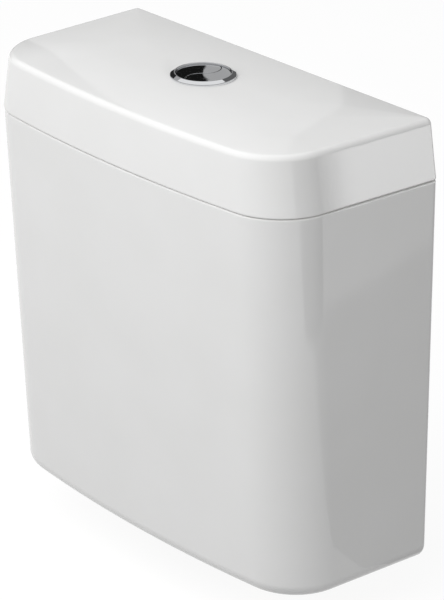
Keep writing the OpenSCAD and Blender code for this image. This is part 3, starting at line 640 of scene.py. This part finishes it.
def tank_piece():
    wall_h = TANK_H - RIM_R - BASE_R
    walls = [BASE_R + wall_h * k / WALL_STEPS for k in range(1, WALL_STEPS)]
    rows = quarter_round(0, 0, BASE_R, BASE_R, BASE_STEPS, level=True)
    rows += [(0, z) for z in (BASE_R + HOLD, *walls, TANK_H - RIM_R - HOLD)]
    rows += quarter_round(0, TANK_H, RIM_R, -RIM_R, RIM_STEPS, level=False)
    rows += quarter_round(WALL, TANK_H, -RIM_R, -RIM_R, RIM_STEPS, level=True)
    rows += [(WALL, z) for z in reversed(walls) if z > FLOOR_T + COVE_R + COVE_CLEAR]
    rows += quarter_round(WALL, FLOOR_T, COVE_R, COVE_R, COVE_STEPS, level=False)
    obj = loft("tank_china", [tank_ring(inset, z) for inset, z in rows])
    top = FLOOR_T + OVER
    cutters = [
        bore("outlet_hole", OUTLET_HOLE_R, -OVER, top),
        bore("inlet_hole", INLET_HOLE_R, -OVER, top, (INLET_X, 0)),
    ]
    for side in (-1, 1):
        cutters.append(bore("bolt_hole", BOLT_HOLE_R, -OVER, top, (side * BOLT_X, 0)))
        cutters.append(wall_bore(side))
    cut(obj, cutters)
    glaze(obj, lambda face: face.center.z < FOOT_BAND * MM)
    place(obj, "tank", "glazed_china")


def lid_piece():
    edge_a = math.pi / 2 - math.atan(2 * LID_CROWN / CROWN_W)
    edge_z = LID_Z - LID_CROWN - LID_EDGE_R * math.sin(edge_a)
    edge_in = LID_EDGE_R * (1 - math.cos(edge_a))
    rib_foot_z = TANK_H - RIB_DROP
    skirt_top_z = SKIRT_Z + RIM_R
    inside = quarter_round(WALL, UNDER_Z, CEILING_R, -CEILING_R, CEILING_STEPS, level=True)
    inside.append((WALL, SHELF_Z + RIB_IN - WALL))
    rib = [(RIB_IN, SHELF_Z)]
    rib += quarter_round(RIB_IN, rib_foot_z, -RIM_R, RIM_R, RIB_STEPS, level=False)
    rib += quarter_round(WALL + RIB_GAP, rib_foot_z, RIM_R, RIM_R, RIB_STEPS, level=True)
    rib.append((WALL + RIB_GAP, SKIRT_Z))
    sides = [skirt_top_z + (edge_z - skirt_top_z) * k / SIDE_STEPS for k in range(1, SIDE_STEPS)]
    outside = quarter_round(0, SKIRT_Z, RIM_R, RIM_R, SKIRT_STEPS, level=True)
    outside += [(0, z) for z in (skirt_top_z + HOLD, *sides, edge_z - HOLD)]
    for k in range(EDGE_STEPS + 1):
        a = edge_a * k / EDGE_STEPS
        outside.append((LID_EDGE_R * (1 - math.cos(a)), edge_z + LID_EDGE_R * math.sin(a)))
    rings = [lid_ring(inset, z) for inset, z in inside]
    rings += [tank_ring(inset, z) for inset, z in rib]
    rings += [lid_ring(inset, z) for inset, z in outside]
    for k in range(1, CROWN_STEPS + 1):
        t = k / CROWN_STEPS
        inset = edge_in + CROWN_W * t
        least_r = LEAST_R + min(CONTOUR_R * t, CONTOUR_SHARE * (BODY_D - 2 * inset))
        rings.append(lid_ring(inset, LID_Z - LID_CROWN * (1 - t) ** 2, least_r))
    obj = loft("lid_china", rings)
    cut(obj, [bore("button_hole", HOLE_R, UNDER_Z - OVER, LID_Z + OVER)])
    band_z = (SKIRT_Z + SKIRT_BAND) * MM
    glaze(obj, lambda face: face.center.z < band_z and face.normal.z < DOWNWARD)
    place(obj, "lid", "glazed_china")


# Push button

# Steps along a button's round edge and along each half of its curved split
ROUND_STEPS = 72
SPLIT_STEPS = 24
BUTTON_EDGE_STEPS = 5
# Insets of the flat rings on a button's face, which keep its shading flat
FACE_INSETS = (0.16, 0.4, 2, 4)
# Steps along a turn of a spring, and sides of its wire
SPRING_STEPS = 40
WIRE_SIDES = 12


def bezel_piece():
    r = BEZEL_EDGE_R
    run = BEZEL_R - BORE_R - 2 * r
    fall = (BEZEL_H - RIM_H) / run
    lift = r * (math.sqrt(1 + fall**2) - 1)
    crest_z = LID_Z + BEZEL_H + lift + r * fall
    rim_z = LID_Z + RIM_H + lift - r * fall
    corners = [
        (BORE_R, crest_z, r),
        (BEZEL_R, rim_z, r),
        (BEZEL_R, LID_Z, 0.2),
        (SLEEVE_R, LID_Z, 0),
        (SLEEVE_R, SLEEVE_Z, 0.4),
        (BORE_R - LIP, SLEEVE_Z, 0.2),
        (BORE_R - LIP, SLEEVE_Z + LIP, 0.2),
        (BORE_R, SLEEVE_Z + LIP, 0),
    ]
    obj = turned("bezel_ring", rounded(corners, 8), segments=160)
    smooth(obj, 40)
    place(obj, "button_bezel", "chrome", CHROME)


# Upper or lower crossing of a circle round the origin with a circle about c
def meet(c, r, radius, upper):
    d = c.length
    a = (radius**2 - r**2 + d**2) / (2 * d)
    h = math.sqrt(radius**2 - a**2)
    along = c / d
    across = Vector((-along.y, along.x))
    first = along * a + across * h
    second = along * a - across * h
    pick = max if upper else min
    return pick(first, second, key=lambda p: p.y)


# Points of an arc about c, without its end, counter-clockwise where turn is positive
def sweep(c, start, end, count, turn):
    a0 = math.atan2(start.y - c.y, start.x - c.x)
    a1 = math.atan2(end.y - c.y, end.x - c.x)
    r = (start - c).length
    if turn > 0 and a1 < a0:
        a1 += 2 * math.pi
    if turn < 0 and a1 > a0:
        a1 -= 2 * math.pi
    angles = [a0 + (a1 - a0) * k / count for k in range(count)]
    return [c + r * Vector((math.cos(a), math.sin(a))) for a in angles]


def button_ring(inset, z):
    gap = SPLIT / 2 + inset
    lobe = Vector((SPLIT_RISE - SPLIT_R, SPLIT_CHORD / 2))
    bay = -lobe
    outer = BUTTON_R - inset
    top = meet(lobe, SPLIT_R - gap, outer, True)
    foot = meet(bay, SPLIT_R + gap, outer, False)
    waist = lobe + (bay - lobe).normalized() * (SPLIT_R - gap)
    points = sweep(Vector((0, 0)), top, foot, ROUND_STEPS, 1)
    points += sweep(bay, foot, waist, SPLIT_STEPS, -1)
    points += sweep(lobe, waist, top, SPLIT_STEPS, 1)
    c = math.cos(SPLIT_TURN)
    s = math.sin(SPLIT_TURN)
    return [(c * p.x - s * p.y, s * p.x + c * p.y, z) for p in points]


def button_piece(name, node, half_turn):
    top_z = PLATE_Z + BUTTON_T
    rows = [(0, PLATE_Z)]
    rows += quarter_round(0, top_z, BUTTON_EDGE_R, -BUTTON_EDGE_R, BUTTON_EDGE_STEPS, level=False)
    rows += [(inset, top_z) for inset in FACE_INSETS]
    plate = loft(name + "_plate", [button_ring(inset, z) for inset, z in rows])
    corners = [
        (POST_BORE_R, ROD_TOP_Z, 0),
        (POST_R, ROD_TOP_Z, 0.4),
        (POST_R, SPRING_TOP_Z, 0.4),
        (POST_HEAD_R, SPRING_TOP_Z, 0.4),
        (POST_HEAD_R, PLATE_Z + POST_SINK, 0),
        (POST_BORE_R, PLATE_Z + POST_SINK, 0),
    ]
    post = turned(name + "_post", rounded(corners, 3), (-ROD_X, ROD_Y), 48)
    obj = join(name, [plate, post])
    if half_turn:
        for v in obj.data.vertices:
            v.co.x = -v.co.x
            v.co.y = -v.co.y
    smooth(obj, 40)
    place(obj, node, "chrome", CHROME)


def spring_piece(name, node, side):
    low_z = GUIDE_TOP_Z + WIRE_R
    high_z = SPRING_TOP_Z - WIRE_R
    count = SPRING_TURNS * SPRING_STEPS
    at = Vector((-ROD_X * side, ROD_Y * side, 0))
    rings = []
    for k in range(count + 1):
        a = 2 * math.pi * k / SPRING_STEPS
        out = Vector((math.cos(a), math.sin(a), 0)) * side
        centre = at + out * SPRING_R + Vector((0, 0, low_z + (high_z - low_z) * k / count))
        ring = []
        for i in range(WIRE_SIDES):
            t = 2 * math.pi * i / WIRE_SIDES
            ring.append(centre + out * WIRE_R * math.cos(t) + Vector((0, 0, WIRE_R * math.sin(t))))
        rings.append(ring)
    obj = loft(name, rings)
    smooth(obj, 60)
    place(obj, node, "steel", STEEL)
    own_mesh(obj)


# Threaded pieces and fixings


def valve_base_piece():
    root_r = TAIL_R - TAIL_THREAD
    rows = [
        (OUTLET_R, FLANGE_Z),
        (OUTLET_R, -TAIL_L + TAIL_CHAMFER),
        (OUTLET_R + TAIL_CHAMFER, -TAIL_L),
        (root_r - TAIL_CHAMFER, -TAIL_L),
    ]
    rows += thread_rows(TAIL_R, TAIL_THREAD, TAIL_PITCH, -TAIL_L + TAIL_CHAMFER, FLANGE_Z - TAIL_PLAIN)
    rows.append((root_r, FLANGE_Z))
    corners = [
        (FLANGE_R, FLANGE_Z, 0.6),
        (FLANGE_R, FLANGE_TOP_Z + FLANGE_EDGE_H, 0.6),
        (FLANGE_R - FLANGE_EDGE_T, FLANGE_TOP_Z + FLANGE_EDGE_H, 0.6),
        (FLANGE_R - FLANGE_EDGE_T, FLANGE_TOP_Z, 0.6),
        (OUTLET_R + SEAT_OUT, FLANGE_TOP_Z, 0.6),
        (OUTLET_R + SEAT_OUT, SEAT_Z, 1.2),
        (OUTLET_R + SEAT_IN, SEAT_Z, 0.6),
        (OUTLET_R + SEAT_IN, FLANGE_Z, 0),
    ]
    obj = turned("valve_base_moulding", rows + rounded(corners, 4), segments=128)
    smooth(obj, 40)
    place(obj, "valve_base", "white_plastic", WHITE)


def backnut_piece():
    bore_r = TAIL_R + HELD_GAP
    rows = [(bore_r, 0), (bore_r, -BACKNUT_T)]
    rows += hexagon_rows(BACKNUT_R, -BACKNUT_T, 0, high=False)
    obj = turned("backnut_hexagon", rows, segments=144)
    smooth(obj, 30)
    place(obj, "valve_backnut", "white_plastic", WHITE)


def doughnut_piece():
    bore_r = TAIL_R + HELD_GAP
    recess_r = BACKNUT_R + REST_GAP
    recess_z = -BACKNUT_T - REST_GAP
    corners = [
        (bore_r, -DOUGHNUT_H, 2.2),
        (DOUGHNUT_R, -DOUGHNUT_H, 6),
        (DOUGHNUT_R, 0, 1.6),
        (recess_r, 0, 0.8),
        (recess_r, recess_z, 0),
        (bore_r, recess_z, 0),
    ]
    obj = turned("doughnut_foam", rounded(corners, 6), segments=128)
    smooth(obj, 40)
    place(obj, "pan_doughnut", "black_rubber", BLACK_FOAM)


def stem_piece():
    rows = [
        (INLET_BORE_R, STEM_Z),
        (INLET_BORE_R, -INLET_L + INLET_CHAMFER),
        (INLET_BORE_R + INLET_CHAMFER, -INLET_L),
        (INLET_R - INLET_THREAD - INLET_TIP, -INLET_L),
    ]
    thread_z = -INLET_L + INLET_TIP
    rows += shank_rows(INLET_R, INLET_THREAD, INLET_PITCH, thread_z, -STEM_NUT_T, STEM_NECK, STEM_FLANGE_Z)
    corners = [
        (STEM_FLANGE_R, STEM_FLANGE_Z, 0.4),
        (STEM_FLANGE_R, STEM_FLANGE_TOP_Z, 0.8),
        (STEM_R, STEM_FLANGE_TOP_Z, 0.8),
        (STEM_R, STOP_Z - STOP_H, 0.4),
        (STOP_R, STOP_Z - STOP_H, 0.5),
        (STOP_R, STOP_Z, 0.5),
        (STEM_R, STOP_Z, 0.3),
        (STEM_R, STEM_Z, 0.3),
        (INLET_BORE_R, STEM_Z, 0),
    ]
    # The profile's last corner is already its first row
    rows += rounded(corners, 4)[:-1]
    obj = turned("inlet_stem", rows, (INLET_X, 0))
    smooth(obj, 40)
    place(obj, "fill_stem", "white_plastic", WHITE)


def bolts_piece():
    parts = []
    for side in (-1, 1):
        rows = [(AXIS_R, -BOLT_L), (BOLT_R - BOLT_THREAD - BOLT_TIP_IN, -BOLT_L)]
        rows += shank_rows(BOLT_R, BOLT_THREAD, BOLT_PITCH, -BOLT_L + BOLT_TIP_H, NUT_Z, BOLT_NECK, HEAD_Z)
        rows += hexagon_rows(BOLT_HEX_R, HEAD_Z, HEAD_Z + HEAD_H, low=False)
        rows.append((AXIS_R, HEAD_Z + HEAD_H))
        parts.append(turned("bolt", rows, (side * BOLT_X, 0), 72, False))
    obj = join("threaded_bolts", parts)
    smooth(obj, 30)
    place(obj, "fixing_bolts", "zinc", ZINC)


def nuts_piece():
    bore_r = BOLT_R - NUT_BITE
    parts = []
    for side in (-1, 1):
        rows = [(bore_r, NUT_TOP_Z), (bore_r, NUT_Z)]
        rows += hexagon_rows(BOLT_HEX_R, NUT_Z, NUT_TOP_Z)
        parts.append(turned("nut", rows, (side * BOLT_X, 0), 72))
    obj = join("hexagon_nuts", parts)
    smooth(obj, 30)
    place(obj, "bolt_nuts", "zinc", ZINC)


tank_piece()
lid_piece()
bezel_piece()
button_piece("full_button_plate", "full_flush_button", False)
button_piece("half_button_plate", "half_flush_button", True)
spring_piece("full_spring_wire", "full_button_spring", 1)
spring_piece("half_spring_wire", "half_button_spring", -1)
valve_base_piece()
backnut_piece()
doughnut_piece()
stem_piece()
bolts_piece()
nuts_piece()


# Nodes that keep their shape, with their material and the width of their edges' rounding in millimetres,
# where 0 leaves the edges as they are
DRESS = {
    "bezel_nut": (WHITE, 0.5),
    "button_guide": (WHITE, 0.3),
    "full_push_rod": (GREY, 0.3),
    "half_push_rod": (GREY, 0.3),
    "base_seal": (BLACK_RUBBER, 0.4),
    "valve_housing": (GREY, 0),
    "lever_pin": (STEEL, 0.3),
    "full_lever": (BLUE, 0.6),
    "half_lever": (WHITE, 0.6),
    "overflow_riser": (WHITE, 0.5),
    "flush_seal": (RED_RUBBER, 0.4),
    "seal_retainer": (BLUE, 0.4),
    "flush_float": (WHITE_FOAM, 0.4),
    "full_lift_strap": (BLUE, 0.5),
    "half_lift_strap": (WHITE, 0.5),
    "stem_washer": (BLACK_RUBBER, 0.4),
    "stem_backnut": (WHITE, 0.6),
    "inlet_filter": (BLUE, 0.1),
    "fill_head": (WHITE, 0.5),
    "fill_diaphragm": (RED_RUBBER, 0.3),
    "fill_cap": (BLUE, 0.4),
    "float_arm": (GREY, 0.5),
    "arm_pin": (STEEL, 0.3),
    "fill_float": (GREY, 0.4),
    "float_link": (STEEL, 0.3),
    "bolt_cone_washers": (BLACK_RUBBER, 0.5),
    "bolt_steel_washers": (ZINC, 0.2),
}
WELD_GAP = 0.002
SHARP_TURN = math.radians(40)


def dress(node, material, width):
    obj = frame["nodes"][node]
    obj.data.materials.clear()
    obj.data.materials.append(material)
    if width == 0:
        return
    weld = obj.modifiers.new("weld", "WELD")
    weld.merge_threshold = WELD_GAP * MM
    edge = obj.modifiers.new("edge", "BEVEL")
    edge.width = width * MM
    edge.segments = 2
    edge.limit_method = "ANGLE"
    edge.angle_limit = SHARP_TURN
    edge.harden_normals = True


for dressed_node, (finish, edge_w) in DRESS.items():
    dress(dressed_node, finish, edge_w)


# Studio, in metres

FLOOR_SIZE = 60
FLOOR_GLOW = 0.9
WORLD_GLOW = 0.40
UPWARD = Vector((0, 0, 1))

# The floor lies just under the part, and the dark sheets of painted shade on it just above the floor
FLOOR_GAP = 0.0005
SHADE_FLAG_GAP = 0.001
floor_z = cad_box[0].z - FLOOR_GAP
shade_flag_z = floor_z + SHADE_FLAG_GAP

# Key light
KEY_AT = Vector((0, -1.15, 1.6))
KEY_AIM = Vector((0, 0, 0.25))
KEY_SIZE = (3.2, 2.2)
KEY_POWER = 47

# Bright panel that the lid's right end mirrors, and the dark flag that goes on from the panel's front end.
# The panel's light falls away along it, from its full strength to nothing.
SIDE_AT = Vector((1.064, 1.266, 0.14))
SIDE_FACING = Vector((-0.78, -0.6, 0)).normalized()
SIDE_ALONG = UPWARD.cross(SIDE_FACING)
SIDE_W = 1.4
SIDE_PANEL_H = 0.36
SIDE_GLOW = 4.0
FULL_ALONG = 0.5
DARK_ALONG = 0.592
END_FLAG_W = 1.7
END_FLAG_H = 0.5
END_FLAG_RISE = 0.06

# Flag that darkens half of the button, with one edge bowed in
BUTTON_FLAG_AT = (-1.077, 0.917, 0.896)
BUTTON_FLAG_FACING = (0.718, -0.611, -0.334)
BUTTON_FLAG_GLOW = 0.008
BUTTON_FLAG = [
    (-0.05, 0.019),
    (-0.05, -0.019),
    (0.011, -0.019),
    (0.0048, -0.0119),
    (0.0008, -0.006),
    (-0.0006, -0.001),
    (0, 0.002),
    (0.0035, 0.007),
    (0.0082, 0.0119),
    (0.014, 0.019),
]

# Dark patch of floor that the tank's right corner mirrors: painted shadow of the tank on the floor, seen only
# in reflections
CORNER_SHADE_FLAG = [(0.75, 0.315), (0.75, -0.1), (1.3, -0.2), (1.3, 0.92)]

# Plain panels and flags: centre, direction, width and height, strength
PANELS = {
    "left_flag": ((-1.862, 0.548, 0.879), (0.93, -0.274, -0.242), (1.0, 1.2), 0.02),
    "rear_flag": ((-0.404, 1.006, 0.95), (0.404, -1.006, -0.4), (0.75, 1.3), 0.12),
    # Dim sheet on the floor beside the tank's right side, seen only in reflections: painted shadow of the
    # tank on the floor
    "floor_shade_flag": ((0.47, 0.93, shade_flag_z), UPWARD, (0.55, 1.7), 0.5),
    "ceiling": ((-0.45, 0.15, 1.9), (0.1, -0.1, -1), (2.1, 1.2), 0.85),
}


# Dull surface that gives an even light
def give_light(n, strength):
    n.shader.inputs["Roughness"].default_value = 1
    n.shader.inputs["Specular IOR Level"].default_value = 0
    n.shader.inputs["Emission Color"].default_value = (1, 1, 1, 1)
    n.shader.inputs["Emission Strength"].default_value = strength


def glow(name, strength):
    n = Nodes(name)
    n.shader.inputs["Base Color"].default_value = (0, 0, 0, 1)
    give_light(n, strength)
    return n


# Glow that rises along X from nothing to its full strength
def graded_glow(name, dark_x, full_x, strength):
    n = glow(name, strength)
    parts = n.tree.nodes.new("ShaderNodeSeparateXYZ")
    n.link(n.where, parts.inputs["Vector"])
    rise = n.span(parts.outputs["X"], 0, strength, dark_x, full_x)
    n.link(rise, n.shader.inputs["Emission Strength"])
    return n


def floor_surface():
    n = Nodes("pale_floor")
    n.link(
        n.colours(n.noise(3), [(0.3, (0.12, 0.12, 0.12)), (0.7, (0.13, 0.13, 0.13))]),
        n.shader.inputs["Base Color"],
    )
    give_light(n, FLOOR_GLOW)
    return n


def rectangle(width, height):
    return [(u * width / 2, v * height / 2) for u, v in ((-1, -1), (1, -1), (1, 1), (-1, 1))]


# Flat card with an outline that is given across and up from its centre
def card(name, shape, centre, direction, surface):
    facing = Vector(direction).normalized()
    side = UPWARD.cross(facing).normalized()
    if side.length == 0:
        side = Vector((1, 0, 0))
    rise = facing.cross(side)
    points = [Vector(centre) + side * u + rise * v for u, v in shape]
    mesh = bpy.data.meshes.new(name)
    mesh.from_pydata(points, [], [tuple(range(len(points)))])
    mesh.materials.append(surface.material)
    obj = add(name, mesh)
    return obj


# Card that only reflections see
def reflected_card(name, shape, centre, direction, surface):
    obj = card(name, shape, centre, direction, surface)
    obj.visible_camera = False
    obj.visible_diffuse = False
    obj.visible_shadow = False
    obj.visible_transmission = False


def key_light():
    light = bpy.data.lights.new("key", "AREA")
    light.shape = "RECTANGLE"
    light.size = KEY_SIZE[0]
    light.size_y = KEY_SIZE[1]
    light.energy = KEY_POWER
    obj = add("key", light)
    obj.location = KEY_AT
    obj.rotation_mode = "QUATERNION"
    obj.rotation_quaternion = (KEY_AIM - KEY_AT).to_track_quat("-Z", "Y")
    obj.visible_glossy = False


def side_cards():
    dark_x = SIDE_AT.x + SIDE_ALONG.x * DARK_ALONG
    full_x = SIDE_AT.x + SIDE_ALONG.x * FULL_ALONG
    surface = graded_glow("side_glow", dark_x, full_x, SIDE_GLOW)
    reflected_card("side_panel", rectangle(SIDE_W, SIDE_PANEL_H), SIDE_AT, SIDE_FACING, surface)
    end_at = SIDE_AT + SIDE_ALONG * (SIDE_W + END_FLAG_W) / 2 + UPWARD * END_FLAG_RISE
    reflected_card("end_flag", rectangle(END_FLAG_W, END_FLAG_H), end_at, SIDE_FACING, glow("end_flag", 0))


def world_light():
    world = bpy.data.worlds.new("studio")
    world.use_nodes = True
    background = world.node_tree.nodes["Background"]
    background.inputs["Color"].default_value = (1, 1, 1, 1)
    background.inputs["Strength"].default_value = WORLD_GLOW
    bpy.context.scene.world = world


floor = card("floor", rectangle(FLOOR_SIZE, FLOOR_SIZE), (0, 0, floor_z), UPWARD, floor_surface())
floor.visible_diffuse = False
key_light()
side_cards()
# Black sheet on the floor near the tank's right corner, seen only in reflections: painted shade
reflected_card("corner_shade_flag", CORNER_SHADE_FLAG, (0, 0, shade_flag_z), UPWARD, glow("corner_shade_flag", 0))
button_glow = glow("flag", BUTTON_FLAG_GLOW)
reflected_card("flag", BUTTON_FLAG, BUTTON_FLAG_AT, BUTTON_FLAG_FACING, button_glow)
for panel_name, (panel_at, panel_facing, panel_size, panel_glow) in PANELS.items():
    surface = glow(panel_name, panel_glow)
    reflected_card(panel_name, rectangle(*panel_size), panel_at, panel_facing, surface)
world_light()
bpy.context.scene.view_settings.view_transform = "Standard"


# Camera at the photograph's angle, in line with a point that it looks at, then moved aside and up

AZIMUTH = math.radians(49.23)
ELEVATION = math.radians(23.6057)
ROLL = 0.0024208
LENS = 188.858
SENSOR_W = 36
LOOK_AT = Vector((0, -0.003, 0.190))
DISTANCE = 2.63549
ASIDE = 0.017944
RAISED = 0.00476
FAR_CLIP = 100


def camera_view():
    level = math.cos(ELEVATION)
    back = Vector((math.sin(AZIMUTH) * level, -math.cos(AZIMUTH) * level, math.sin(ELEVATION)))
    right = Vector((math.cos(AZIMUTH), math.sin(AZIMUTH), 0))
    up = back.cross(right)
    across = right * math.cos(ROLL) + up * math.sin(ROLL)
    above = up * math.cos(ROLL) - right * math.sin(ROLL)
    camera = add("camera", bpy.data.cameras.new("camera"))
    camera.data.lens = LENS
    camera.data.sensor_width = SENSOR_W
    camera.data.clip_end = FAR_CLIP
    camera.location = LOOK_AT + back * DISTANCE + across * ASIDE + above * RAISED
    camera.rotation_mode = "QUATERNION"
    camera.rotation_quaternion = Matrix((across, above, back)).transposed().to_quaternion()
    bpy.context.scene.camera = camera


camera_view()
